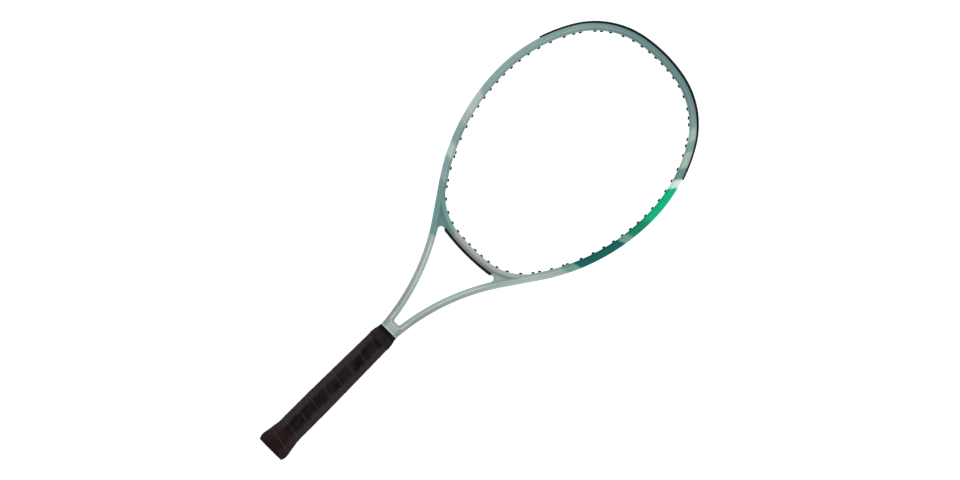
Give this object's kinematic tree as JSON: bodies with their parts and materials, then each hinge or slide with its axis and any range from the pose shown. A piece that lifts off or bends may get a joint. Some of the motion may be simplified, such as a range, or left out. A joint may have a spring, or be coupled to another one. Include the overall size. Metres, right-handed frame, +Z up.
{
  "type": "tennis racket",
  "caption": "Adult tennis racket frame without strings: oval head with grommets and bumper guard, open throat and wrapped octagonal handle.",
  "frame": {"origin": "centre of the butt end face, on the racket's long axis", "axes": "+X along the handle towards the tip of the head, +Y across the string plane to the left of someone looking from the butt with +Z up, +Z normal to the string plane"},
  "size_m": [0.6858, 0.2662, 0.0374],
  "materials": {
    "painted_carbon": "satin lacquer in pale sage, teal and emerald bands",
    "foam": "matte foam",
    "black_nylon": "moulded nylon",
    "pallet_foam": "moulded hard foam",
    "bonding_tape": "double-sided tape",
    "weight_rubber": "filled rubber",
    "grip": "soft synthetic leather",
    "black_tape": "smooth vinyl",
    "cap_plastic": "moulded",
    "badge_plastic": "smooth, bare",
    "steel": "zinc plated"
  },
  "bodies": {
    "root": {"frame_tube": "painted_carbon", "throat_bridge": "painted_carbon", "throat_wedge": "painted_carbon", "throat_bridge_core": "foam", "leg_plug_left": "foam", "leg_plug_right": "foam", "bumper_guard": "black_nylon", "grommet_strip_left": "black_nylon", "grommet_strip_right": "black_nylon", "grommet_strip_throat": "black_nylon", "handle_pallet_upper": "pallet_foam", "handle_pallet_lower": "pallet_foam", "pallet_tape_upper": "bonding_tape", "pallet_tape_lower": "bonding_tape", "balance_weight": "weight_rubber", "base_grip": "grip", "finishing_tape": "black_tape", "butt_cap": "cap_plastic", "butt_cap_plate": "badge_plastic", "butt_cap_staples": "steel", "grip_tack": "steel"}
  },
  "joints": []
}
